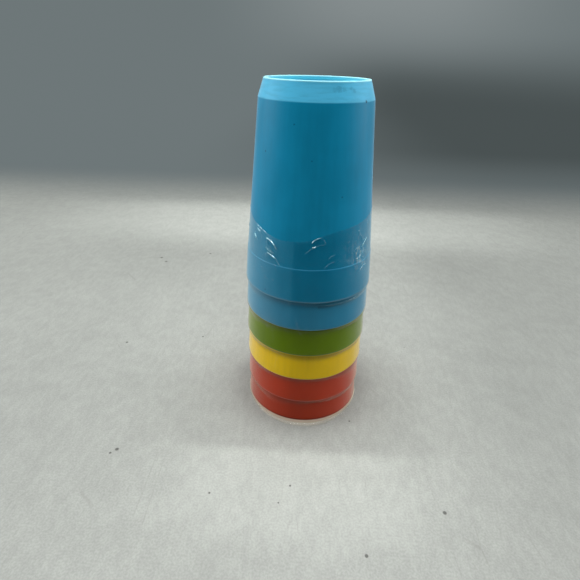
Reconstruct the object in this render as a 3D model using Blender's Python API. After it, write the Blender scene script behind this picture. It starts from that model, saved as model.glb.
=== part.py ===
"""A tower of nested drinking tumblers, upside down, held together by a wrap of clear film.

Six tumblers from one mould stand mouth down, each pushed over the one below it. The lip
of every tumbler but the bottom one hangs one stacking pitch above the lip underneath, so
the tower shows one whole tumbler on top and a band of each other colour below it. A
sleeve of clear film runs from the table up past the middle of the top tumbler.

Metres, +Z up. The origin is the centre of the bottom rim, on the surface it stands on.
"""

import math

import bmesh
import bpy

MM = 0.001

# The stack, from the bottom up: object name and plastic colour (linear RGB).
STACK = [
    ("cup_6_red", (0.56, 0.047, 0.014)),
    ("cup_5_red", (0.61, 0.052, 0.016)),
    ("cup_4_yellow", (0.95, 0.66, 0.008)),
    ("cup_3_green", (0.165, 0.285, 0.003)),
    ("cup_2_blue", (0.030, 0.295, 0.50)),
    ("cup_1_blue", (0.005, 0.28, 0.49)),
]
PITCH = 19.2 * MM  # from one rim to the next

# Tumbler, mouth down: heights are above its own rim.
CUP_HEIGHT = 113.2 * MM
RIM_RADIUS = 39.7 * MM
WALL_SLOPE = 0.0873  # radius lost for each unit of height
WALL_RADIUS = 39.92 * MM  # of the body cone, carried down to the rim's plane
WALL = 1.25 * MM  # horizontal thickness
BAND_TOP = 20.3 * MM  # the thicker band round the mouth ends in a small shoulder here
BAND_TOP_RADIUS = 38.35 * MM
SHOULDER = 0.6 * MM
LIP_ROUND_OUT = 0.5 * MM
LIP_ROUND_UP = 0.9 * MM
LIP_INNER_RADIUS = 38.8 * MM
LIP_LEAD_IN = 1.2 * MM  # height of the slanted edge inside the mouth
EDGE_HEIGHT = 104.16 * MM  # where the body turns in towards the foot
FOOT_RADIUS = 28.0 * MM
FOOT_ROUND = 0.5 * MM
FOOT_RING = 1.9 * MM  # radial thickness of the standing ring
RECESS_DEPTH = 5.0 * MM
RECESS_ROUND = 0.5 * MM
RECESS_DRAFT = 0.2 * MM
FLOOR = 1.8 * MM
INNER_FILLET = 1.5 * MM

# Clear film sleeve.
FILM = 0.3 * MM  # stand-in thickness, for collision and mass
FILM_GAP = 0.35 * MM  # to the tumblers it wraps
FILM_HEM_RADIUS = 43.2 * MM  # the lower hem spreads on the table
FILM_HEM_HEIGHT = 0.5 * MM
FILM_KNEE_RADIUS = 40.6 * MM
FILM_KNEE_HEIGHT = 2.6 * MM
FILM_STRAIGHT_FROM = 7.0 * MM
FILM_TOP = 139.9 * MM  # mean height of the uneven upper edge
FILM_TOP_WAVES = [(1, 4.1, 26.7), (2, 2.7, 13.3), (3, 0.6, 27.8)]  # turns, mm, degrees

SIDES = 48  # facets round every turned piece
SMOOTH_BELOW = math.radians(30)
ARC_STEPS = 2


def clear_scene():
    for obj in list(bpy.data.objects):
        bpy.data.objects.remove(obj, do_unlink=True)


def plastic(name, colour, roughness, alpha=1.0):
    material = bpy.data.materials.new(name)
    material.use_nodes = True
    shader = material.node_tree.nodes["Principled BSDF"]
    shader.inputs["Base Color"].default_value = (*colour, 1.0)
    shader.inputs["Roughness"].default_value = roughness
    shader.inputs["Metallic"].default_value = 0.0
    shader.inputs["Alpha"].default_value = alpha
    return material


def arc(centre_r, centre_z, across, up, start, end, steps=ARC_STEPS):
    """Points of an elliptical arc in the (radius, height) plane, angles in degrees."""
    points = []
    for i in range(steps + 1):
        angle = math.radians(start + (end - start) * i / steps)
        points.append((centre_r + across * math.cos(angle), centre_z + up * math.sin(angle)))
    return points


def wall_radius(height):
    """Outside of the tapered body at a height above the tumbler's own rim."""
    return WALL_RADIUS - WALL_SLOPE * height


def outer_profile():
    """Outside of a tumbler, from the lip up to the middle of the foot's recess."""
    ring_inner = FOOT_RADIUS - FOOT_RING
    recess_floor = CUP_HEIGHT - RECESS_DEPTH
    recess_radius = ring_inner - RECESS_DRAFT
    lip = arc(RIM_RADIUS - LIP_ROUND_OUT, LIP_ROUND_UP, LIP_ROUND_OUT, LIP_ROUND_UP, -90, 0)
    shoulder = [
        (BAND_TOP_RADIUS, BAND_TOP),
        (wall_radius(BAND_TOP + SHOULDER), BAND_TOP + SHOULDER),
    ]
    ring = arc(FOOT_RADIUS - FOOT_ROUND, CUP_HEIGHT - FOOT_ROUND, FOOT_ROUND, FOOT_ROUND, 0, 90)
    ring += arc(ring_inner + FOOT_ROUND, CUP_HEIGHT - FOOT_ROUND, FOOT_ROUND, FOOT_ROUND, 90, 180)
    recess = arc(
        recess_radius - RECESS_ROUND,
        recess_floor + RECESS_ROUND,
        RECESS_ROUND,
        RECESS_ROUND,
        0,
        -90,
        steps=1,
    )
    edge = [(wall_radius(EDGE_HEIGHT), EDGE_HEIGHT)]
    return lip + shoulder + edge + ring + recess + [(0.0, recess_floor)]


def inner_profile():
    """Inside of a tumbler, from the middle of the floor down to the mouth."""
    ceiling = CUP_HEIGHT - RECESS_DEPTH - FLOOR
    fillet_from = ceiling - INNER_FILLET
    inner_radius = wall_radius(fillet_from) - WALL
    fillet = arc(
        inner_radius - INNER_FILLET, fillet_from, INNER_FILLET, INNER_FILLET, 90, 0
    )
    lead_in = (wall_radius(LIP_LEAD_IN) - WALL, LIP_LEAD_IN)
    return [(0.0, ceiling)] + fillet + [lead_in, (LIP_INNER_RADIUS, 0.0)]


def turned_mesh(name, profile):
    """Spins a closed (radius, height) outline round Z. Its ends on the axis become one point each."""
    bm = bmesh.new()
    ring = [bm.verts.new((radius, 0.0, height)) for radius, height in profile]
    edges = [bm.edges.new(pair) for pair in zip(ring, ring[1:] + ring[:1]) if not on_axis(pair)]
    bmesh.ops.spin(
        bm,
        geom=ring + edges,
        cent=(0, 0, 0),
        axis=(0, 0, 1),
        angle=2 * math.pi,
        steps=SIDES,
        use_merge=True,
    )
    bmesh.ops.remove_doubles(bm, verts=bm.verts, dist=0.001 * MM)
    bmesh.ops.recalc_face_normals(bm, faces=bm.faces)
    mesh = bpy.data.meshes.new(name)
    bm.to_mesh(mesh)
    bm.free()
    return mesh


def on_axis(pair):
    return all(vert.co.x < 0.001 * MM for vert in pair)


def shade(mesh):
    mesh.shade_smooth()
    mesh.set_sharp_from_angle(angle=SMOOTH_BELOW)


def add_object(name, mesh, material, height, parent):
    mesh.materials.append(material)
    obj = bpy.data.objects.new(name, mesh)
    obj.location = (0, 0, height)
    obj.parent = parent
    bpy.context.scene.collection.objects.link(obj)
    return obj


def add_tumblers(tower):
    for level, (name, colour) in enumerate(STACK):
        mesh = turned_mesh(name, outer_profile() + inner_profile())
        shade(mesh)
        add_object(name, mesh, plastic(name, colour, 0.42), level * PITCH, tower)


def film_edge_height(angle):
    """Height of the sleeve's uneven upper edge at an angle round the tower, from +X."""
    bearing = angle + math.pi / 2  # from -Y, where the edge dips
    return FILM_TOP - sum(
        size * MM * math.cos(turns * (bearing + math.radians(shift)))
        for turns, size, shift in FILM_TOP_WAVES
    )


def film_ring(angle):
    """The sleeve's inner face at one angle, from the hem up: (radius, height) pairs."""
    top_rim = (len(STACK) - 1) * PITCH
    lip_radius = RIM_RADIUS + FILM_GAP
    edge = film_edge_height(angle)
    shoulder_height = top_rim + BAND_TOP + SHOULDER
    return [
        (FILM_HEM_RADIUS, FILM_HEM_HEIGHT),
        (FILM_KNEE_RADIUS, FILM_KNEE_HEIGHT),
        (lip_radius, FILM_STRAIGHT_FROM),
        (lip_radius, top_rim + LIP_ROUND_UP),
        (BAND_TOP_RADIUS + FILM_GAP, shoulder_height),
        (wall_radius(edge - top_rim) + FILM_GAP, edge),
    ]


def add_film(tower):
    bm = bmesh.new()
    rings = []
    for side in range(SIDES):
        angle = 2 * math.pi * side / SIDES
        rings.append(
            [
                bm.verts.new((radius * math.cos(angle), radius * math.sin(angle), height))
                for radius, height in film_ring(angle)
            ]
        )
    for here, there in zip(rings, rings[1:] + rings[:1]):
        for low, high in zip(range(len(here) - 1), range(1, len(here))):
            bm.faces.new((here[low], there[low], there[high], here[high]))
    mesh = bpy.data.meshes.new("wrap_film")
    bm.to_mesh(mesh)
    bm.free()
    shade(mesh)
    clear = plastic("wrap_film", (0.85, 0.87, 0.88), 0.12, alpha=0.25)
    film = add_object("wrap_film", mesh, clear, 0, tower)
    skin = film.modifiers.new("skin", "SOLIDIFY")
    skin.thickness = FILM
    skin.offset = 1.0
    skin.use_rim = True


def main():
    clear_scene()
    tower = bpy.data.objects.new("tower", None)
    bpy.context.scene.collection.objects.link(tower)
    add_tumblers(tower)
    add_film(tower)


main()
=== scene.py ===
"""Looks for the tower of nested tumblers in clear film.

The CAD frame gives every place and size. Each tumbler is turned again here with a finer
outline, and the film is a creased sheet over the rims. Metres, +Z up, -Y to the viewer.
"""

import math
import random

import bpy
import numpy as np
from mathutils import Matrix, Vector


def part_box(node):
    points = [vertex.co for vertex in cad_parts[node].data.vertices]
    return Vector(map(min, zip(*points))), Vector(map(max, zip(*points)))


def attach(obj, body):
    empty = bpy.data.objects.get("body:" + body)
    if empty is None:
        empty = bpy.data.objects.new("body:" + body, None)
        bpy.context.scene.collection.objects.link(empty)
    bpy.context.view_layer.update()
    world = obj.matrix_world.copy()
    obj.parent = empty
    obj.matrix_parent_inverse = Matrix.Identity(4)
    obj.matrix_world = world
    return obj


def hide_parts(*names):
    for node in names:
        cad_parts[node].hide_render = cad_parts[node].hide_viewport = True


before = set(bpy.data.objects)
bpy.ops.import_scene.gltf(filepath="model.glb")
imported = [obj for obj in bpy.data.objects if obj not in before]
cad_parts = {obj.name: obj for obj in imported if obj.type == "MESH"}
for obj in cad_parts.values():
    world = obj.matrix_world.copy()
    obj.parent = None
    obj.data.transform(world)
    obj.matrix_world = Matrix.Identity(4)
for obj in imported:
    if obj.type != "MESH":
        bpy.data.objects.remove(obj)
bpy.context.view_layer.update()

MM = 0.001
CUPS = ["cup_6_red", "cup_5_red", "cup_4_yellow", "cup_3_green", "cup_2_blue", "cup_1_blue"]

# Sizes read from the frame.
CUP_LOW, CUP_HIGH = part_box("cup_1_blue")
RIM_RADIUS = (CUP_HIGH[0] - CUP_LOW[0]) / 2
CUP_HEIGHT = CUP_HIGH[2] - CUP_LOW[2]
RIM_HEIGHTS = [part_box(name)[0][2] for name in CUPS]
TOP_RIM = RIM_HEIGHTS[-1]

# The rest of the tumbler's outline, as in the CAD; heights are above its own rim.
WALL_SLOPE = 0.0873
WALL_RADIUS = 39.92 * MM
WALL = 1.25 * MM
BAND_TOP = 20.3 * MM
BAND_TOP_RADIUS = 38.35 * MM
SHOULDER = 0.6 * MM
LIP_ACROSS = 0.75 * MM
LIP_UP = 1.1 * MM
LIP_INNER_RADIUS = 38.8 * MM
EDGE_HEIGHT = 104.16 * MM
EDGE_ROUND = 0.4 * MM
SHOULDER_ROUND = 0.6  # share of the shoulder's height that is a curve
FOOT_RADIUS = 28.0 * MM
FOOT_ROUND = 0.5 * MM
FOOT_RING = 1.9 * MM
RECESS_DEPTH = 5.0 * MM
FLOOR = 1.8 * MM
TURN_SIDES = 192
ON_AXIS = 1e-7

# Small stains on the top tumbler: bearing from the front, height above the table and
# half size (degrees and mm), and how dark they are.
STAINS = [
    (17.0, 205.4, 1.7, 0.13),
    (21.5, 205.8, 2.0, 0.22),
    (26.5, 205.4, 1.5, 0.15),
    (34.0, 206.0, 1.3, 0.20),
    (37.5, 205.0, 1.4, 0.22),
    (52.5, 200.2, 0.9, 0.9),
    (-18.2, 190.4, 0.6, 0.60),
    (-70.0, 194.6, 0.6, 0.55),
]
# Small dark specks on the floor: x, y and half size (mm).
FLOOR_SPECKS = [
    (-179, 205, 2.0), (-170, 195, 1.8), (-123, 223, 1.5), (-153, 37, 1.3), (-90, 51, 1.0),
    (-115, -71, 1.5), (-118, -74, 1.0), (-4, -88, 0.8), (-50, -96, 0.8), (83, -98, 1.4),
    (37, -124, 1.2), (34, -36, 0.8), (-10, -99, 0.6),
]

# Film. Heights here are in mm above the table unless they carry MM.
FILM_FRONT = 75  # degrees each side of the front, where the film's mesh is finest
FRONT_STEP, BACK_STEP = 0.35, 1.0  # degrees from one column of the mesh to the next
FILM_CLING = 0.09 * MM
FILM_FINE_FROM = 98 * MM
FINE_ROWS = 150
LIP_ROWS_BELOW, LIP_ROWS_ABOVE = 2.4, 1.8  # mm from each rim where the rows are close
ROW_STEP, LIP_ROW_STEP = 1.0, 0.3  # mm between rows, away from the rims and at them
HANG_SLOPE, HANG_WANDER = 0.30, 0.09  # how steeply the film slants in under each rim
LIP_BEND_HAZE_AND_HIGHLIGHT = [0.0, 0.05, 0.07, 0.06, 0.05, 0.10]  # haze where the film bends over each rim, partly a painted highlight along it
BODY_GIRTH = 2 * math.pi * 37.5  # mm, for distances round the film
DRAWN_LIFT = 1.7  # how much prouder the creases listed below stand than the loose ones
CREASE_END = 1.2  # mm over which a crease fades at each end
LOOSE_CREASES, SPAN_CREASES = 90, 30
EDGE_ROLL, EDGE_ROLL_HEIGHT = 0.14 * MM, 0.7 * MM  # the upper edge is rolled over a little
HEM_HEIGHT = 2.6 * MM  # below this the film spreads on the table
HEM_SPREAD, HEM_SPREAD_FRONT, HEM_RIPPLE = 0.35, 3.1, 0.10  # mm
HEM_LIFT, HEM_WAVE = 0.24, 0.08  # mm between the hem and the table
# The film's two ends overlap from a straight edge on the left to a slack one on the right:
# bearing of each edge, how soft it is, and how far the slack one leans for each mm up.
OVERLAP_LEFT, OVERLAP_LEFT_SOFT = -12.6, 0.4
OVERLAP_RIGHT, OVERLAP_RIGHT_SOFT, OVERLAP_LEAN = 13, 3.5, 1.1
# Slack stretches: haze, the bearings it comes in over, the bearings it is gone over and
# the heights it comes in over.
SLACK = [
    (0.022, (-12.2, -13.4), (-100, -70), (70, 82)),
    (0.058, (-16, -42), (-100, -70), (70, 82)),
    (0.03, (20, 50), (110, 80), (88, 97)),
    (0.12, (55, 75), (110, 90), (60, 40)),
]
HEM_HAZE, HEM_FOLD_HAZE = 0.28, 0.12
# Painted shade on the film: under each lip (deeper on the yellow band), at the hem's knee and along
# the fold.
LIP_SHADE, LIP_SHADE_YELLOW, KNEE_SHADE, FOLD_SHADE = 0.22, 0.34, 0.45, 0.42
CRUMPLE = (53, 121, 16)  # the crumpled patch: bearing, height and half width
CRUMPLE_HEIGHT = 10  # half height of every crumpled patch
# Other crumpled patches round the back: bearing, height and half width.
BACK_CRUMPLES = [(125, 122, 14), (172, 118, 18), (-118, 124, 16)]
BACK_CRUMPLE_SHARE = 0.6  # how strong they are beside the one on the right
# The uneven upper edge: bearing from the front in degrees and height.
FILM_EDGE = [
    (-180, 141.0), (-150, 142.0), (-120, 142.0), (-95, 141.5), (-71, 139.2), (-60, 137.0),
    (-48, 135.4), (-36, 133.2), (-26, 131.9), (-14, 132.2), (0, 133.4), (5, 134.8),
    (9.5, 135.6), (13, 136.3), (20, 137.6), (36, 139.1), (50, 140.0), (69, 142.4), (90, 144.0),
    (115, 144.2), (150, 142.0),
]
# Creases: start bearing and height, end bearing and height, bow, half width, lift, glint
# (degrees and mm). The first ten draw two eye-shaped blisters with their tails.
CREASES = [
    (-39.4, 131.1, -28.2, 126.2, 1.1, 0.25, 0.55, 0.95),
    (-39.6, 130.8, -30.8, 123.6, -1.5, 0.24, 0.34, 0.24),
    (-39.8, 125.9, -31.0, 123.4, -0.5, 0.22, 0.45, 0.60),
    (-37.4, 123.0, -29.0, 120.9, 0.1, 0.25, 0.54, 0.95),
    (-29.0, 121.2, -24.6, 117.4, -0.2, 0.22, 0.30, 0.40),
    (2.4, 132.4, 9.8, 135.4, 0.7, 0.22, 0.45, 0.75),
    (9.4, 135.3, 14.0, 131.4, 0.6, 0.22, 0.30, 0.08),
    (14.0, 131.6, 2.2, 128.9, -0.7, 0.22, 0.35, 0.12),
    (2.8, 130.0, 5.6, 130.1, 0.0, 0.25, 0.45, 1.00),
    (1.6, 129.3, -2.6, 126.5, 0.2, 0.22, 0.25, 0.18),
    (-52.6, 134.0, -47.4, 132.3, 0.3, 0.24, 0.40, 0.34),
    (-57.4, 130.4, -51.6, 127.0, 0.2, 0.24, 0.40, 0.36),
    (-54.4, 136.0, -39.8, 133.3, 0.2, 0.24, 0.20, 0.30),
    (13.6, 117.6, 22.4, 121.2, 0.9, 0.24, 0.35, 0.16),
    (17.4, 123.4, 22.6, 125.0, 0.4, 0.24, 0.25, 0.18),
    (50.8, 124.4, 61.0, 129.4, 0.4, 0.26, 0.40, 0.20),
    (40.2, 123.6, 47.4, 126.4, 0.6, 0.26, 0.35, 0.10),
    (49.6, 111.6, 60.4, 113.8, 0.3, 0.26, 0.35, 0.09),
    (44.0, 119.0, 57.0, 123.0, -0.5, 0.26, 0.30, 0.12),
    (47.0, 136.0, 55.0, 127.0, 0.5, 0.26, 0.25, 0.06),
    (16.0, 94.3, 52.0, 94.5, 0.1, 0.35, 0.30, 0.14),
]
# A painted shadow line along a fold under the top tumbler's lip, on the right; it has no lift or
# glint.
LIP_FOLD_SHADOW = (10.0, 93.2, 52.0, 94.2, 0.2, 1.3)

# Stage: a flat floor out to FLOOR_REACH, then a curve and a wall (m).
FLOOR_REACH, WALL_CURVE, WALL_TOP, FLOOR_SIDES = 1.8, 0.6, 3.0, 64

# Camera: place in metres, angles in degrees, lens in mm.
EYE = Vector((0.0, -0.2390, 0.2197))
PAN = -2.691
PITCH_DOWN = 29.98
ROLL = 1.519
LENS = 25.44
SENSOR = 36

# Lamps: name, place, what it points at, size across and up (m) and watts.
LAMPS = [
    ("overhead", (0.0, -0.03, 0.80), (0, -0.03, 0), (0.28, 0.22), 4.9),
    ("front_top", (0.0, -0.32, 0.80), (0, -0.1, 0), (0.5, 0.2), 2.05),
    ("back_bar", (0.0, 0.42, 0.80), (0, 0.42, 0), (1.2, 0.25), 3.6),
    ("left_panel", (-0.9, 0.05, 0.40), (0, 0, 0.12), (0.7, 0.6), 5.6),
    ("right_panel", (0.9, 0.10, 0.40), (0, 0, 0.12), (0.7, 0.6), 4.9),
]
AMBIENT = (0.02, 0.02, 0.02, 1)

# Linear RGB.
PLASTIC_COLOURS = {
    "cup_6_red": (0.480, 0.043, 0.013),
    "cup_5_red": (0.520, 0.047, 0.015),
    "cup_4_yellow": (0.930, 0.610, 0.008),
    "cup_3_green": (0.140, 0.237, 0.000),
    "cup_2_blue": (0.027, 0.252, 0.425),
    "cup_1_blue": (0.003, 0.235, 0.415),
}
# The top tumbler's foot and recess are lightened as painted light and glow; the ring edge is a
# painted highlight.
TOP_FOOT_PAINTED_LIGHT = (0.066, 0.395, 0.61)
TOP_RECESS_PAINTED_GLOW = (0.10, 0.56, 0.67)
TOP_RING_EDGE_PAINTED_HIGHLIGHT = (0.28, 0.64, 0.72)
BOARD = (0.303, 0.316, 0.292)
BOARD_DOT = (0.06, 0.06, 0.055, 1)
BOARD_SCRATCH = (0.16, 0.16, 0.14, 1)
BOARD_HAIR = (0.17, 0.17, 0.15, 1)
BOARD_SPECK = (0.045, 0.045, 0.04, 1)
# Grain of the board: scale, detail, stretch, the noise's low and high end, their tones.
BOARD_GRAIN = [
    (7, 6, (1, 1, 1), 0.3, 0.7, 0.965, 1.03),
    (60, 8, (1, 1, 1), 0.3, 0.7, 0.955, 1.035),
    (900, 3, (1, 1, 1), 0.3, 0.7, 0.91, 1.08),
    (260, 5, (1.0, 0.45, 1.0), 0.35, 0.65, 0.955, 1.035),
]
# Painted light and shade on the board: a shadow band beside the tower, a lit patch in front and a
# lit patch behind. Where each rises and falls along Y and fades along X (m), and its tone.
BOARD_LIGHT_AND_SHADE_PATCHES = [
    ((-0.068, -0.056), (-0.01, 0.06), (0.05, 0.13), 0.91),
    ((-0.150, -0.095), (-0.070, -0.058), (0.02, 0.12), 1.20),
    ((0.20, 0.33), (0.38, 0.47), (0.10, 0.55), 1.44),
]
# Scratches, then hairlines: turn, stretch, scale, where the line starts and is full,
# strength, and the scale and two ends of the noise that lets them come and go, colour.
BOARD_LINES = [
    (0.0, 0.35, 16, 0.008, 0.002, 0.24, 22, 0.57, 0.66, BOARD_SCRATCH),
    (0.9, 0.22, 34, 0.014, 0.003, 0.17, 30, 0.54, 0.64, BOARD_HAIR),
]
# The backdrop's glow, with its painted shade (dark) and painted light (light).
BACKDROP = (0.155, 0.185, 0.19, 1)
BACKDROP_DARK = (0.04, 0.05, 0.05, 1)
BACKDROP_LIGHT = (0.235, 0.265, 0.27, 1)
FILM_CLEAR = (0.965, 0.968, 0.968, 1)
FILM_DOUBLED = (0.895, 0.905, 0.91, 1)
FILM_MILK_LOW = (0.96, 0.87, 0.68, 1)  # haze over the lower bands
FILM_MILK_HIGH = (0.52, 0.85, 0.96, 1)  # haze over the blue tumblers
# Colour on the crease crests: a painted highlight in the film's milk.
CREASE_PAINTED_HIGHLIGHT = (0.42, 0.90, 1.0, 1)
CREASE_GLEAM = (0.55, 0.93, 1.0, 1)
BLACK, WHITE = (0.0, 0.0, 0.0, 1), (1, 1, 1, 1)


# ---------------------------------------------------------------- shared mesh tools


def arc(centre_r, centre_z, across, up, start, end, steps):
    """Points of an elliptical arc in the (radius, height) plane, angles in degrees."""
    turns = np.radians(np.linspace(start, end, steps + 1))
    return [(centre_r + across * math.cos(t), centre_z + up * math.sin(t)) for t in turns]


def straight(start, end, steps):
    """Points on the line from start to end, without either end."""
    shares = np.linspace(0, 1, steps + 1)[1:-1]
    return [tuple(np.array(start) * (1 - s) + np.array(end) * s) for s in shares]


def wall_radius(height):
    return WALL_RADIUS - WALL_SLOPE * height


def mesh_object(name, points, faces):
    mesh = bpy.data.meshes.new(name)
    mesh.from_pydata([tuple(p) for p in points], [], faces)
    mesh.update()
    mesh.shade_smooth()
    made = bpy.data.objects.new(name, mesh)
    bpy.context.scene.collection.objects.link(made)
    return made


def add_attribute(obj, name, values):
    layer = obj.data.attributes.new(name, "FLOAT", "POINT")
    layer.data.foreach_set("value", np.asarray(values, np.float32).reshape(-1))


# ---------------------------------------------------------------- tumblers


def outer_outline():
    """Outside of a tumbler from the lip to the middle of the recessed base."""
    ring_inner = FOOT_RADIUS - FOOT_RING
    recess_floor = CUP_HEIGHT - RECESS_DEPTH
    lip = arc(RIM_RADIUS - LIP_ACROSS, LIP_UP, LIP_ACROSS, LIP_UP, -90, 0, 8)
    shoulder_end = BAND_TOP + SHOULDER
    band = straight(lip[-1], (BAND_TOP_RADIUS, BAND_TOP), 8)
    drop = BAND_TOP_RADIUS - wall_radius(shoulder_end)
    shoulder = arc(BAND_TOP_RADIUS - drop, BAND_TOP, drop, SHOULDER * SHOULDER_ROUND, 0, 80, 5)
    body_start = (wall_radius(shoulder_end), shoulder_end)
    round_z = CUP_HEIGHT - FOOT_ROUND
    foot_start = (FOOT_RADIUS, round_z)
    turn_in = (wall_radius(EDGE_HEIGHT), EDGE_HEIGHT)
    edge = rounded_corner(body_start, turn_in, foot_start, EDGE_ROUND)
    body = straight(body_start, edge[0], 24)
    chamfer = straight(edge[-1], foot_start, 5)
    outside = arc(FOOT_RADIUS - FOOT_ROUND, round_z, FOOT_ROUND, FOOT_ROUND, 0, 90, 6)
    inside = arc(ring_inner + FOOT_ROUND, round_z, FOOT_ROUND, FOOT_ROUND, 90, 180, 6)
    foot = chamfer + outside + inside
    base = base_outline(ring_inner, recess_floor)
    return lip + band + shoulder + [body_start] + body + edge + foot + base


def base_outline(ring_inner, recess_floor):
    """The recessed base: a drafted wall, a fillet, a shallow step and the gate mark."""
    fillet = 0.8 * MM
    wall_foot = ring_inner - 0.2 * MM
    step_out, step_in, step = 21.0 * MM, 20.4 * MM, 0.25 * MM
    gate, gate_height = 1.6 * MM, 0.45 * MM
    points = arc(wall_foot - fillet, recess_floor + fillet, fillet, fillet, 0, -90, 6)
    points += straight(points[-1], (step_out, recess_floor), 4)
    points += [(step_out, recess_floor), (step_in, recess_floor + step)]
    points += straight(points[-1], (gate * 1.6, recess_floor + step), 8)
    points += [(gate * 1.6, recess_floor + step), (gate, recess_floor + step + gate_height * 0.3)]
    points += [(gate * 0.85, recess_floor + step + gate_height)]
    return points + [(0.0, recess_floor + step + gate_height)]


def inner_outline():
    """Inside of a tumbler from the middle of its floor to the mouth."""
    fillet = 1.5 * MM
    ceiling = CUP_HEIGHT - RECESS_DEPTH - FLOOR
    fillet_from = ceiling - fillet
    corner = wall_radius(fillet_from) - WALL
    points = [(0.0, ceiling), (2 * MM, ceiling)]
    points += straight(points[-1], (corner - fillet, ceiling), 8)
    points += arc(corner - fillet, fillet_from, fillet, fillet, 90, 0, 6)
    lead_in = 1.2 * MM
    mouth = (wall_radius(lead_in) - WALL, lead_in)
    points += straight(points[-1], mouth, 16) + [mouth]
    soft = 0.15 * MM
    return points + [(LIP_INNER_RADIUS, soft), (LIP_INNER_RADIUS + soft, 0.0)]


def rounded_corner(before, corner, after, radius):
    """Replaces a corner by a short curve that starts and ends radius away from it."""
    before, corner, after = (np.array(p) for p in (before, corner, after))
    start = corner + (before - corner) / np.linalg.norm(before - corner) * radius
    end = corner + (after - corner) / np.linalg.norm(after - corner) * radius
    shares = np.linspace(0, 1, 5)
    return [
        tuple(start * (1 - s) ** 2 + corner * 2 * s * (1 - s) + end * s**2) for s in shares
    ]


def turned(name, outline, base_height):
    """Turns a closed (radius, height) outline round Z; points on the axis stay single."""
    points, faces, heights, radii, rings = [], [], [], [], []
    for radius, height in outline:
        sides = 1 if radius < ON_AXIS else TURN_SIDES
        ring = list(range(len(points), len(points) + sides))
        rings.append(ring if sides > 1 else ring * TURN_SIDES)
        for side in range(sides):
            turn = 2 * math.pi * side / TURN_SIDES
            points.append((radius * math.cos(turn), radius * math.sin(turn), base_height + height))
            heights.append(height / MM)
            radii.append(radius / MM)
    for low, high in zip(rings, rings[1:] + rings[:1]):
        if low[0] == low[1] and high[0] == high[1]:
            continue
        for side in range(TURN_SIDES):
            after = (side + 1) % TURN_SIDES
            ring = [low[side], low[after], high[after], high[side]]
            faces.append(list(dict.fromkeys(ring)))
    made = mesh_object(name, points, faces)
    add_attribute(made, "above_rim", heights)
    add_attribute(made, "from_axis", radii)
    return made


def add_tumblers():
    outline = outer_outline() + inner_outline()
    for node, height in zip(CUPS, RIM_HEIGHTS):
        piece = turned(node.replace("cup", "tumbler"), outline, height)
        stains = STAINS if node == "cup_1_blue" else []
        piece.data.materials.append(plastic(node, PLASTIC_COLOURS[node], stains))
        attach(piece, node)
        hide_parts(node)


# ---------------------------------------------------------------- film


def periodic(points, bearings):
    """A smooth closed curve through (bearing, value) points, read at each bearing."""
    at_bearings = np.array([p[0] for p in points], float)
    values = np.array([p[1] for p in points], float)
    span = np.roll(at_bearings, -1) - at_bearings
    span[-1] += 360
    rise = (np.roll(values, -1) - values) / span
    slope = (rise + np.roll(rise, 1)) / 2
    start = at_bearings[0]
    wrapped = (np.asarray(bearings) - start) % 360 + start
    before = np.searchsorted(at_bearings, wrapped, side="right") - 1
    after = (before + 1) % len(values)
    t = (wrapped - at_bearings[before]) / span[before]
    leaving, arriving = slope[before] * span[before], slope[after] * span[before]
    return (
        values[before] * (2 * t**3 - 3 * t**2 + 1) + leaving * (t**3 - 2 * t**2 + t)
        + values[after] * (3 * t**2 - 2 * t**3) + arriving * (t**3 - t**2)
    )


def band_radius(own):
    """Outside of a tumbler at heights above its own rim, as an array."""
    band = RIM_RADIUS + (BAND_TOP_RADIUS - RIM_RADIUS) * (own - LIP_UP) / (BAND_TOP - LIP_UP)
    wall = wall_radius(own)
    share = np.clip((own - BAND_TOP) / SHOULDER, 0, 1)
    return np.where(own < LIP_UP, RIM_RADIUS, band * (1 - share) + wall * share)


def hugging_radius(heights, turns):
    """Outline of the film: over each rim, in towards the band below, up the top tumbler."""
    pitch = RIM_HEIGHTS[1] - RIM_HEIGHTS[0]
    own = np.where(heights < TOP_RIM, heights % pitch, heights - TOP_RIM)
    level = np.floor(heights / pitch)
    wander = np.sin(3 * turns + 2.1 * level) + np.sin(5 * turns - 1.3 * level + 1)
    hung = RIM_RADIUS - (HANG_SLOPE + HANG_WANDER * wander) * (pitch - own)
    band = band_radius(own)
    return np.where(heights < TOP_RIM, np.maximum(band, hung), band) + FILM_CLING


def crease_lift(around, height, crease):
    """One crease over a grid of distances round the tower and heights, from 0 to 1."""
    from_bearing, from_height, to_bearing, to_height, bow, half_width = crease[:6]
    per_degree = BODY_GIRTH / 360
    start = np.array((from_bearing * per_degree, from_height))
    along = np.array((to_bearing * per_degree, to_height)) - start
    length = np.linalg.norm(along)
    along /= length
    across = np.array((-along[1], along[0]))
    aside, above = around - start[0], height - start[1]
    share = (aside * along[0] + above * along[1]) / length
    bowed = bow * 4 * np.clip(share, 0, 1) * (1 - np.clip(share, 0, 1))
    off = aside * across[0] + above * across[1] - bowed
    ends = np.clip(np.minimum(share, 1 - share) * length / CREASE_END + 0.5, 0, 1)
    return ends**2 * (3 - 2 * ends) * np.exp(-((off / half_width) ** 2))


def loose_creases(rng):
    """Small creases, thickest round the right of the film and under its upper edge."""
    made = []
    for _ in range(LOOSE_CREASES):
        right_side = [rng.gauss(51, 7), rng.gauss(51, 7)]
        bearing = rng.choice(right_side + [rng.gauss(-44, 10), rng.uniform(75, 285)])
        height = rng.gauss(125, 7)
        turn = rng.uniform(0.4, 1.5) * rng.choice([-1, 1])
        length = rng.uniform(1.2, 4.0)
        made.append(
            (
                bearing, height,
                bearing + length * math.cos(turn) * 1.5, height + length * math.sin(turn),
                rng.uniform(-0.4, 0.4), rng.uniform(0.25, 0.45),
                rng.uniform(0.10, 0.30), rng.uniform(0.02, 0.10),
            )
        )
    return made


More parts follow.
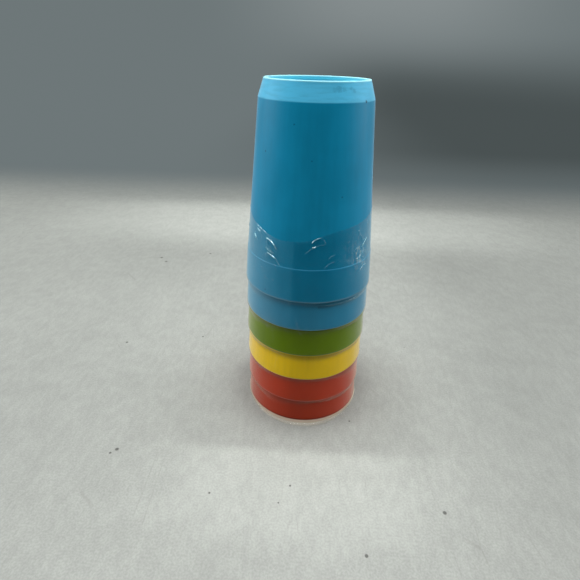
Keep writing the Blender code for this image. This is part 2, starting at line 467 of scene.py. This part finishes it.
def span_creases(rng):
    """Long slack folds that run down over the rims below the top tumbler."""
    made = []
    for _ in range(SPAN_CREASES):
        bearing = rng.uniform(-180, 180)
        height = rng.uniform(4, 90)
        made.append(
            (
                bearing, height,
                bearing + rng.uniform(-9, 9), height + rng.uniform(6, 18),
                rng.uniform(-0.6, 0.6), rng.uniform(0.4, 0.7),
                rng.uniform(0.05, 0.15), rng.uniform(0.0, 0.04),
            )
        )
    return made


def film_bearings():
    """Bearings of the film's columns from the front, closest together round the front."""
    front = np.arange(-FILM_FRONT, FILM_FRONT, FRONT_STEP)
    bearings = np.concatenate([front, np.arange(FILM_FRONT, 360 - FILM_FRONT, BACK_STEP)])
    return np.where(bearings > 180, bearings - 360, bearings)


def film_grid(edge):
    """Heights of the film's rows at every bearing: even at first, then up to its edge."""
    rows = [np.linspace(0, 6, 17)]
    start = 7.0
    for rim in RIM_HEIGHTS[1:]:
        near = rim / MM - LIP_ROWS_BELOW
        rows.append(np.arange(start, near - 0.4, ROW_STEP))
        start = rim / MM + LIP_ROWS_ABOVE
        rows.append(np.arange(near, start - 0.1, LIP_ROW_STEP))
    low = np.concatenate(rows) * MM
    fine = np.linspace(0, 1, FINE_ROWS)
    heights = np.empty((len(low) + len(fine), len(edge)))
    heights[: len(low)] = low[:, None]
    heights[len(low):] = FILM_FINE_FROM + fine[:, None] * (edge - FILM_FINE_FROM)[None, :]
    return heights


def smooth_step(value, start, end):
    """0 before start, 1 after end, smooth between; end may be the lower of the two."""
    share = np.clip((value - start) / (end - start), 0, 1)
    return share**2 * (3 - 2 * share)


def bump_at(value, middle, half_width):
    return np.exp(-(((value - middle) / half_width) ** 2))


def crease_fields(bearings, heights):
    """How far the creases lift the film, in mm, and how strongly each point glints."""
    around = np.broadcast_to(bearings[None, :] * BODY_GIRTH / 360, heights.shape)
    rng = random.Random(7)
    lift, glint = np.zeros_like(heights), np.zeros_like(heights)
    for crease in CREASES + loose_creases(rng) + span_creases(rng):
        proud = DRAWN_LIFT if crease in CREASES else 1.0
        for whole_turn in (-1, 0, 1):
            shape = crease_lift(around + whole_turn * BODY_GIRTH, heights / MM, crease)
            lift = np.maximum(lift, shape * crease[6] * proud)
            glint = np.maximum(glint, smooth_step(shape, 0.25, 0.75) * crease[7])
    return lift, glint


def film_radius(turns, heights, lift, rolled):
    """How far the film stands from the axis, with its creases, rolled edge and spread hem."""
    radius = hugging_radius(heights, turns) + lift * MM + EDGE_ROLL * rolled
    facing_front = np.clip(np.cos(turns), 0, 1)
    spread = HEM_SPREAD + HEM_SPREAD_FRONT * facing_front**3 + HEM_RIPPLE * np.sin(7 * turns)
    hem = np.clip(1 - heights / HEM_HEIGHT, 0, 1)
    return radius + spread * MM * hem**1.6


def film_faces(rows, sides):
    """Four-sided faces between neighbouring rows, closed round the tower."""
    faces = []
    for row in range(rows - 1):
        for side in range(sides):
            after = (side + 1) % sides
            here, above = row * sides, (row + 1) * sides
            faces.append((here + side, here + after, above + after, above + side))
    return faces


def level_of(height):
    """Which tumbler's band each height is on, the height above its rim, and the pitch."""
    pitch = (RIM_HEIGHTS[1] - RIM_HEIGHTS[0]) / MM
    level = np.clip(np.floor(height / pitch), 0, len(CUPS) - 1).astype(int)
    return level, height - level * pitch, pitch


def veil_of(bearing, height, rolled):
    """Haze: the milky hem, slack stretches, the bends over the rims with their painted highlight
    lines, and the rolled edge, paler on the left as a painted highlight.
    """
    level, own, _ = level_of(height)
    # Partly haze, partly a painted highlight line along each rim.
    lip_haze_and_highlight = np.array(LIP_BEND_HAZE_AND_HIGHLIGHT)[level] * bump_at(own, 0.6, 0.6)
    hem = HEM_HAZE * smooth_step(height, 2.6, 2.2) + HEM_FOLD_HAZE * bump_at(height, 2.1, 0.3)
    hem = hem * (0.45 + 0.55 * smooth_step(height, 0.3, 0.9))
    slack = sum(
        haze * smooth_step(bearing, *come) * smooth_step(bearing, *gone) * smooth_step(height, *rise)
        for haze, come, gone, rise in SLACK
    )
    # Painted highlight: the rolled upper edge is paler on the left side.
    on_left = np.clip(-np.sin(np.radians(bearing) - 0.15), 0, 1)
    return np.clip(hem + slack + lip_haze_and_highlight + rolled * (0.03 + 0.12 * on_left), 0, 1)


def crumpled_of(bearing, height):
    """Crumpled patches: the one on the right, and fainter ones round the back."""
    middle, level, width = CRUMPLE
    crumpled = bump_at(bearing, middle, width) * bump_at(height, level, CRUMPLE_HEIGHT)
    for middle, level, width in BACK_CRUMPLES:
        beside = (bearing - middle + 180) % 360 - 180
        patch = bump_at(beside, 0, width) * bump_at(height, level, CRUMPLE_HEIGHT)
        crumpled = crumpled + BACK_CRUMPLE_SHARE * patch
    return crumpled


def overlap_of(bearing, height):
    """Where the film lies double: full between its two ends, partly so right of them."""
    above_rim = height - TOP_RIM / MM
    left = smooth_step(
        bearing, OVERLAP_LEFT - OVERLAP_LEFT_SOFT, OVERLAP_LEFT + OVERLAP_LEFT_SOFT
    )
    slack = OVERLAP_RIGHT + OVERLAP_LEAN * np.clip(above_rim - 13, 0, 12)
    inside = smooth_step(bearing, slack + OVERLAP_RIGHT_SOFT, slack - OVERLAP_RIGHT_SOFT)
    tight = smooth_step(above_rim, -8, 1) * 0.6 + 0.4
    beyond = 0.30 + 0.35 * smooth_step(bearing, 62, 30)
    right = beyond + (1 - beyond) * inside
    return tight * left * right * smooth_step(bearing, 80, 62)


def shade_of(bearing, height):
    """Painted shade on the film: under each lip, at the hem's knee and along the fold."""
    level, own, pitch = level_of(height)
    on_yellow = level == CUPS.index("cup_4_yellow")
    darkest = np.where(on_yellow, LIP_SHADE_YELLOW, LIP_SHADE)
    under_lip = darkest * smooth_step(pitch - own, 6.0, 0.2) * (height < TOP_RIM / MM)
    facing_front = np.clip(np.cos(np.radians(bearing)), 0, 1)
    knee = KNEE_SHADE * bump_at(height, 2.9, 0.5) * facing_front
    around = np.broadcast_to(bearing * BODY_GIRTH / 360, height.shape)
    # Painted shadow along the fold under the top lip.
    fold_shadow = FOLD_SHADE * crease_lift(around, height, LIP_FOLD_SHADOW)
    return np.maximum(np.maximum(under_lip, knee), fold_shadow)


def add_film():
    bearings = film_bearings()
    turns = np.radians(bearings)[None, :]
    edge = periodic(FILM_EDGE, bearings) * MM
    heights = film_grid(edge)
    lift, glint = crease_fields(bearings, heights)
    rolled = np.clip((heights - edge[None, :]) / EDGE_ROLL_HEIGHT + 1, 0, 1) ** 2
    radius = film_radius(turns, heights, lift, rolled)
    heights = np.maximum(heights, (HEM_LIFT + HEM_WAVE * np.sin(11 * turns)) * MM)
    points = np.stack([radius * np.sin(turns), -radius * np.cos(turns), heights], axis=-1)
    piece = mesh_object("film_sleeve", points.reshape(-1, 3), film_faces(*heights.shape))
    bearing, height = bearings[None, :], heights / MM
    add_attribute(piece, "glint", glint)
    add_attribute(piece, "veil", veil_of(bearing, height, rolled))
    add_attribute(piece, "crumpled", crumpled_of(bearing, height))
    add_attribute(piece, "overlap", overlap_of(bearing, height))
    add_attribute(piece, "shade", shade_of(bearing, height))
    piece.data.materials.append(clear_film())
    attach(piece, "wrap_film")
    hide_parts("wrap_film")
    float(periodic(FILM_EDGE, np.arange(360)).mean()) * MM


# ---------------------------------------------------------------- materials


class Graph:
    """A material's node tree, with one call for each node."""

    def __init__(self, name):
        self.material = bpy.data.materials.new(name)
        self.material.use_nodes = True
        self.tree = self.material.node_tree
        self.tree.nodes.clear()
        self.output = self.tree.nodes.new("ShaderNodeOutputMaterial")

    def node(self, kind, inputs=None, **settings):
        made = self.tree.nodes.new("ShaderNode" + kind)
        for key, value in settings.items():
            setattr(made, key, value)
        for key, value in (inputs or {}).items():
            if isinstance(value, bpy.types.NodeSocket):
                self.tree.links.new(value, made.inputs[key])
            else:
                made.inputs[key].default_value = value
        return made

    def math(self, operation, a, b=0.0, clamp=False):
        return self.node("Math", {0: a, 1: b}, operation=operation, use_clamp=clamp).outputs[0]

    def step(self, value, low, high, start=0.0, end=1.0):
        """Goes smoothly from start to end as value goes from low to high."""
        ranged = {"Value": value, "From Min": low, "From Max": high, "To Min": start, "To Max": end}
        return self.node("MapRange", ranged, interpolation_type="SMOOTHSTEP").outputs["Result"]

    def mix(self, share, a, b):
        """Blends two colours."""
        made = self.node("Mix", data_type="RGBA")
        for key, value in ((0, share), (6, a), (7, b)):
            if isinstance(value, bpy.types.NodeSocket):
                self.tree.links.new(value, made.inputs[key])
            else:
                made.inputs[key].default_value = value
        return made.outputs[2]

    def noise(self, place, scale, detail=3.0, stretch=(1, 1, 1)):
        where = self.node("Mapping", {"Vector": place, "Scale": stretch}).outputs[0]
        settings = {"Vector": where, "Scale": scale, "Detail": detail}
        return self.node("TexNoise", settings).outputs["Fac"]

    def finish(self, shader):
        self.tree.links.new(shader, self.output.inputs["Surface"])
        return self.material


def rgba(colour, factor=1.0, add=0.0, most=1.0):
    """A colour, scaled and raised, as RGBA."""
    return (*(min(most, c * factor + add) for c in colour), 1.0)


def plastic(name, colour, stains):
    """Moulded polyethylene: satin, a little translucent, paler at its foot and edges as painted
    light.
    """
    g = Graph("plastic_" + name)
    place = g.node("TexCoord").outputs["Object"]
    cloudy = g.noise(place, 38, 4)
    grain = g.noise(place, 1600, 2)
    drag = g.noise(place, 420, 3, (1, 1, 0.04))
    base = moulded_colour(g, name, colour, cloudy, drag)
    base = g.mix(dirt_mask(g, place, grain, stains), base, rgba(colour, 0.2))
    rough = g.step(g.math("ADD", drag, g.math("MULTIPLY", cloudy, 0.5)), 0.4, 1.1, 0.36, 0.48)
    relief = g.math("ADD", g.math("MULTIPLY", grain, 0.5), g.math("MULTIPLY", drag, 0.6))
    bump = g.node("Bump", {"Height": relief, "Strength": 0.10, "Distance": 0.05 * MM})
    shader = g.node(
        "BsdfPrincipled",
        {
            "Base Color": base,
            "Roughness": rough,
            "Normal": bump.outputs[0],
            "IOR": 1.5,
            "Specular IOR Level": 0.1,
            "Subsurface Weight": 0.12,
            "Subsurface Radius": (1.0, 1.0, 1.0),
            "Subsurface Scale": 1.2 * MM,
            "Sheen Weight": 0.14,
            "Sheen Roughness": 0.35,
        },
    )
    return g.finish(shader.outputs[0])


def moulded_colour(g, name, colour, cloudy, drag):
    """The plastic's mottled colour, with its foot and recess lightened as painted light, its ring
    edge as a painted highlight, and a lighter lip and shoulder ridge, partly wear and partly painted
    highlight.

    Heights and radii are in mm, from the tumbler's own rim and axis.
    """
    place = g.node("TexCoord").outputs["Object"]
    above = g.node("Attribute", attribute_name="above_rim").outputs["Fac"]
    from_axis = g.node("Attribute", attribute_name="from_axis").outputs["Fac"]
    foot, recess, edge = foot_colours(name, colour)
    turn_in, top = EDGE_HEIGHT / MM, CUP_HEIGHT / MM
    ring_inner = (FOOT_RADIUS - FOOT_RING) / MM
    mottle = g.math("ADD", g.math("MULTIPLY", cloudy, 0.7), g.math("MULTIPLY", drag, 0.3))
    base = g.mix(g.step(mottle, 0.35, 0.65), rgba(colour, 0.93), rgba(colour, 1.06))
    scuffs = g.noise(place, 330, 4, (0.3, 0.3, 2.0))
    foot = g.mix(g.step(scuffs, 0.35, 0.6), rgba(foot, 0.90), rgba(foot))
    # Painted light: the upward-facing foot is lightened.
    base = g.mix(g.step(above, turn_in - 0.4, turn_in + 0.3), base, foot)
    at_base = g.step(above, top - 6.3, top - 6.0)
    in_ring = g.step(from_axis, ring_inner + 0.9, ring_inner + 0.5)
    # Painted glow inside the recess.
    recess = g.mix(g.step(above, top - 2.7, top - 1.7), rgba(colour, 1.02, 0.02), rgba(recess))
    base = g.mix(g.math("MULTIPLY", at_base, in_ring), base, recess)
    # Painted highlight on the ring's edge.
    base = g.mix(g.step(above, top - 0.8, top - 0.3), base, rgba(edge))
    # Lighter lip and shoulder ridge: partly wear, partly a painted highlight.
    lip = g.step(above, 1.3, 0.5, 0, 0.6)
    from_shoulder = g.math("ABSOLUTE", g.math("SUBTRACT", above, BAND_TOP / MM + 0.3))
    ridge = g.step(from_shoulder, 0.58, 0.2, 0, 0.20)
    wear_and_highlight = g.math("MULTIPLY", g.math("MAXIMUM", lip, ridge), g.step(drag, 0.3, 0.7, 0.6, 1.0))
    return g.mix(wear_and_highlight, base, rgba(colour, 0.85, 0.10))


def foot_colours(name, colour):
    """The slanted foot and the inside of its ring, lightened as painted light, and the ring's edge
    as a painted highlight.
    """
    if name == "cup_1_blue":
        return TOP_FOOT_PAINTED_LIGHT, TOP_RECESS_PAINTED_GLOW, TOP_RING_EDGE_PAINTED_HIGHLIGHT
    return tuple(rgba(colour, 0.85, add, 0.95)[:3] for add in (0.06, 0.04, 0.25))


def dirt_mask(g, place, grain, stains):
    """Small scattered specks and the listed stains."""
    specks = g.node("TexVoronoi", {"Vector": place, "Scale": 105}).outputs["Distance"]
    chosen = g.step(g.noise(place, 55, 1), 0.53, 0.58)
    dirt = g.math("MULTIPLY", g.step(specks, 0.075, 0.035, 0, 0.6), chosen)
    for stain in stains:
        dirt = g.math("MAXIMUM", dirt, stain_mask(g, place, grain, stain))
    return dirt


def stain_mask(g, place, grain, stain):
    """A ragged spot on the top tumbler's outside."""
    bearing, height, size, dark = stain
    own = height * MM - TOP_RIM
    radius = wall_radius(own)
    if own > EDGE_HEIGHT:
        share = (own - EDGE_HEIGHT) / (CUP_HEIGHT - EDGE_HEIGHT)
        radius += (FOOT_RADIUS - wall_radius(EDGE_HEIGHT)) * share
    turn = math.radians(bearing)
    spot = (radius * math.sin(turn), -radius * math.cos(turn), height * MM)
    away = g.node("VectorMath", {0: place, 1: spot}, operation="DISTANCE").outputs["Value"]
    ragged = g.math("MULTIPLY", away, g.step(grain, 0.3, 0.7, 0.7, 1.4))
    return g.step(ragged, size * MM, size * 0.4 * MM, 0, dark)


def clear_film():
    """Clear stretch film: a thin tint darkened by painted shade, a glossy skin, haze at its edges,
    and painted highlights of milk along its creases.
    """
    g = Graph("clear_film")
    glint, veil, crumpled, doubled, shade = (
        g.node("Attribute", attribute_name=name).outputs["Fac"]
        for name in ("glint", "veil", "crumpled", "overlap", "shade")
    )
    place = g.node("TexCoord").outputs["Object"]
    cloud = g.noise(place, 60, 3, (1, 1, 0.5))
    creased = g.step(glint, 0.0, 0.12)
    # Painted shade: the shade attribute darkens the film's tint towards black.
    tint = g.mix(shade, g.mix(doubled, FILM_CLEAR, FILM_DOUBLED), BLACK)
    clear = g.node("BsdfTransparent", {"Color": tint}).outputs[0]
    height = g.node("SeparateXYZ", {"Vector": place}).outputs["Z"]
    over_blue = g.step(height, 0.80 * TOP_RIM, 0.86 * TOP_RIM)
    # Milk on the crease crests is a painted highlight.
    white = g.mix(creased, g.mix(over_blue, FILM_MILK_LOW, FILM_MILK_HIGH), CREASE_PAINTED_HIGHLIGHT)
    milk = g.node("BsdfDiffuse", {"Color": white}).outputs[0]
    haze = film_haze(g, place, cloud, crumpled, glint, veil)
    body = g.node("MixShader", {0: haze, 1: clear, 2: milk}).outputs[0]
    ripple = g.math("MULTIPLY", g.noise(place, 500, 3, (1, 1, 0.3)), 0.12)
    relief = {"Height": g.math("ADD", cloud, ripple), "Strength": 0.2, "Distance": 0.5 * MM}
    bump = g.node("Bump", relief).outputs[0]
    gleam = g.mix(creased, WHITE, CREASE_GLEAM)
    rough = g.step(glint, 0.1, 0.6, 0.12, 0.28)
    gloss = g.node("BsdfGlossy", {"Color": gleam, "Roughness": rough, "Normal": bump}).outputs[0]
    rim = g.node("LayerWeight", {"Blend": 0.5, "Normal": bump}).outputs["Facing"]
    shine = g.math("ADD", g.math("MULTIPLY", g.math("POWER", rim, 4.0), 0.42), 0.003)
    shine = g.math("ADD", shine, g.math("MULTIPLY", glint, 0.85), clamp=True)
    return g.finish(g.node("MixShader", {0: shine, 1: body, 2: gloss}).outputs[0])


def film_haze(g, place, cloud, crumpled, glint, veil):
    """How milky the film is: strands in the crumpled patches, grazing views (partly a painted
    reflection), painted highlights on the creases, veil.
    """
    facing = g.node("LayerWeight", {"Blend": 0.5}).outputs["Facing"]
    # Whitening at grazing views: partly the film's haze, partly a painted reflection of the floor.
    grazing = g.math("MULTIPLY", g.math("POWER", facing, 4.0), 0.36)
    strands = g.step(g.noise(place, 600, 6, (1, 1, 0.55)), 0.44, 0.60, 0.0, 0.34)
    wisps = g.step(g.noise(place, 230, 6, (1, 1, 0.8)), 0.42, 0.58, 0.35, 1.25)
    crumpled = g.math("MULTIPLY", crumpled, g.math("MULTIPLY", strands, wisps))
    patch = g.math("ADD", g.step(cloud, 0.50, 0.62, 0.0, 0.003), crumpled)
    # Painted highlight: milk along the crease crests.
    crest_highlight = g.math("MULTIPLY", glint, 0.45)
    return g.math("ADD", g.math("ADD", patch, grazing), g.math("ADD", crest_highlight, veil), clamp=True)


def floor_material():
    """Pale worn board, with a grey backdrop glowing softly far behind the tower."""
    g = Graph("floor_board")
    place = g.node("TexCoord").outputs["Object"]
    split = g.node("SeparateXYZ", {"Vector": place}).outputs
    x, y, z = (split[axis] for axis in "XYZ")
    plain = g.node("VectorMath", {0: BOARD, "Scale": board_tone(g, place, x, y)}, operation="SCALE")
    base = board_marks(g, place, plain.outputs["Vector"])
    board = g.node("BsdfPrincipled", {"Base Color": base, "Roughness": 0.6}).outputs[0]
    glow = g.node("Emission", {"Color": backdrop_colour(g, x, y, z)}).outputs[0]
    far = g.step(y, 0.365, 0.64)
    return g.finish(g.node("MixShader", {0: far, 1: board, 2: glow}).outputs[0])


def board_tone(g, place, x, y):
    """How light the board is: its grain, and painted light and shade: a shadow round the tower,
    darker sides and soft patches of painted light and shadow.
    """
    tones = [
        g.step(g.noise(place, scale, detail, stretch), low, high, dark, light)
        for scale, detail, stretch, low, high, dark, light in BOARD_GRAIN
    ]
    reach = g.node("VectorMath", {0: place}, operation="LENGTH").outputs["Value"]
    # Painted shadow round the tower's base.
    tones.append(g.step(reach, 0.040, 0.060, 0.88, 1.0))
    # Painted shade: darker towards the right, less so towards the left.
    tones.append(g.step(x, 0.07, 0.18, 1.0, 0.81))
    tones.append(g.step(x, -0.06, -0.22, 1.0, 0.94))
    aside = g.math("ABSOLUTE", x)
    # Painted light and shadow patches.
    for rise, fall, fade, inside in BOARD_LIGHT_AND_SHADE_PATCHES:
        share = g.math("MULTIPLY", g.step(y, *rise), g.step(y, fall[1], fall[0]))
        share = g.math("MULTIPLY", share, g.step(aside, fade[1], fade[0]))
        tones.append(g.step(share, 0.0, 1.0, 1.0, inside))
    tone = tones[0]
    for factor in tones[1:]:
        tone = g.math("MULTIPLY", tone, factor)
    return tone


def board_marks(g, place, base):
    """Dots, scratches, hairlines and specks of dirt over the board's colour."""
    dots = g.node("TexVoronoi", {"Vector": place, "Scale": 22}).outputs["Distance"]
    few = g.step(g.noise(place, 13, 1), 0.55, 0.60)
    base = g.mix(g.math("MULTIPLY", g.step(dots, 0.024, 0.012), few), base, BOARD_DOT)
    for turn, stretch, scale, wide, thin, strength, patches, low, high, colour in BOARD_LINES:
        laid = {"Vector": place, "Rotation": (0, 0, turn), "Scale": (1.0, stretch, 1.0)}
        cells = {"Vector": g.node("Mapping", laid).outputs[0], "Scale": scale}
        lines = g.node("TexVoronoi", cells, feature="DISTANCE_TO_EDGE").outputs["Distance"]
        here = g.step(g.noise(place, patches, 3), low, high)
        base = g.mix(g.math("MULTIPLY", g.step(lines, wide, thin, 0, strength), here), base, colour)
    for across, along, size in FLOOR_SPECKS:
        spot = (across * MM, along * MM, 0)
        away = g.node("VectorMath", {0: place, 1: spot}, operation="DISTANCE").outputs["Value"]
        base = g.mix(g.step(away, size * MM, size * 0.5 * MM, 0, 0.85), base, BOARD_SPECK)
    return base


def backdrop_colour(g, x, y, z):
    """Grey, with painted shade low down on the right and painted light high up in the middle."""
    dark = g.math("MULTIPLY", g.step(x, -0.35, 0.45), g.step(z, 0.35, 0.02))
    dark = g.math("MULTIPLY", dark, g.step(y, 0.45, 0.95, 0.2, 0.75))
    glow = g.mix(dark, BACKDROP, BACKDROP_DARK)
    top = g.math("MULTIPLY", g.step(z, 0.10, 0.50), g.step(x, -0.7, 0.3))
    return g.mix(g.math("MULTIPLY", top, g.step(x, 1.4, 0.5)), glow, BACKDROP_LIGHT)


# ---------------------------------------------------------------- stage


def add_floor():
    """A round table whose far rim turns up into a wall."""
    outline = [(radius, 0) for radius in (0, 0.3, 0.8, 1.4)]
    outline += arc(FLOOR_REACH, WALL_CURVE, WALL_CURVE, WALL_CURVE, -90, 0, 8)
    outline += [(FLOOR_REACH + WALL_CURVE, WALL_TOP)]
    points, faces, sides = [], [], FLOOR_SIDES
    for radius, height in outline:
        for side in range(sides):
            turn = 2 * math.pi * side / sides
            points.append((radius * math.cos(turn), radius * math.sin(turn), height))
    for ring in range(len(outline) - 1):
        for side in range(sides):
            low, after = ring * sides + side, ring * sides + (side + 1) % sides
            faces.append((low, after, after + sides, low + sides))
    floor = mesh_object("floor", points, faces)
    floor.data.materials.append(floor_material())


def add_camera():
    pan, pitch, roll = (math.radians(v) for v in (PAN, PITCH_DOWN, ROLL))
    ahead = math.cos(pitch)
    forward = Vector((math.sin(pan) * ahead, math.cos(pan) * ahead, -math.sin(pitch)))
    level = Vector((math.cos(pan), -math.sin(pan), 0))
    over = level.cross(forward)
    right = math.cos(roll) * level + math.sin(roll) * over
    up = math.cos(roll) * over - math.sin(roll) * level
    data = bpy.data.cameras.new("camera")
    data.lens = LENS
    data.sensor_width = SENSOR
    data.clip_start = 0.01
    camera = bpy.data.objects.new("camera", data)
    turn = Matrix((right, up, -forward)).transposed()
    camera.matrix_world = Matrix.Translation(EYE) @ turn.to_4x4()
    bpy.context.scene.collection.objects.link(camera)
    bpy.context.scene.camera = camera


def area_light(name, place, aim, size, energy):
    data = bpy.data.lights.new(name, "AREA")
    data.shape = "RECTANGLE"
    data.size, data.size_y = size
    data.energy = energy
    lamp = bpy.data.objects.new(name, data)
    lamp.location = place
    lamp.rotation_euler = (Vector(aim) - Vector(place)).to_track_quat("-Z", "Y").to_euler()
    bpy.context.scene.collection.objects.link(lamp)


def add_lights():
    for lamp in LAMPS:
        area_light(*lamp)
    world = bpy.data.worlds.new("studio")
    world.use_nodes = True
    world.node_tree.nodes["Background"].inputs["Color"].default_value = AMBIENT
    bpy.context.scene.world = world


def main():
    add_camera()
    add_floor()
    add_lights()
    add_tumblers()
    add_film()
    bpy.context.scene.view_settings.view_transform = "Standard"


main()

bpy.context.view_layer.update()
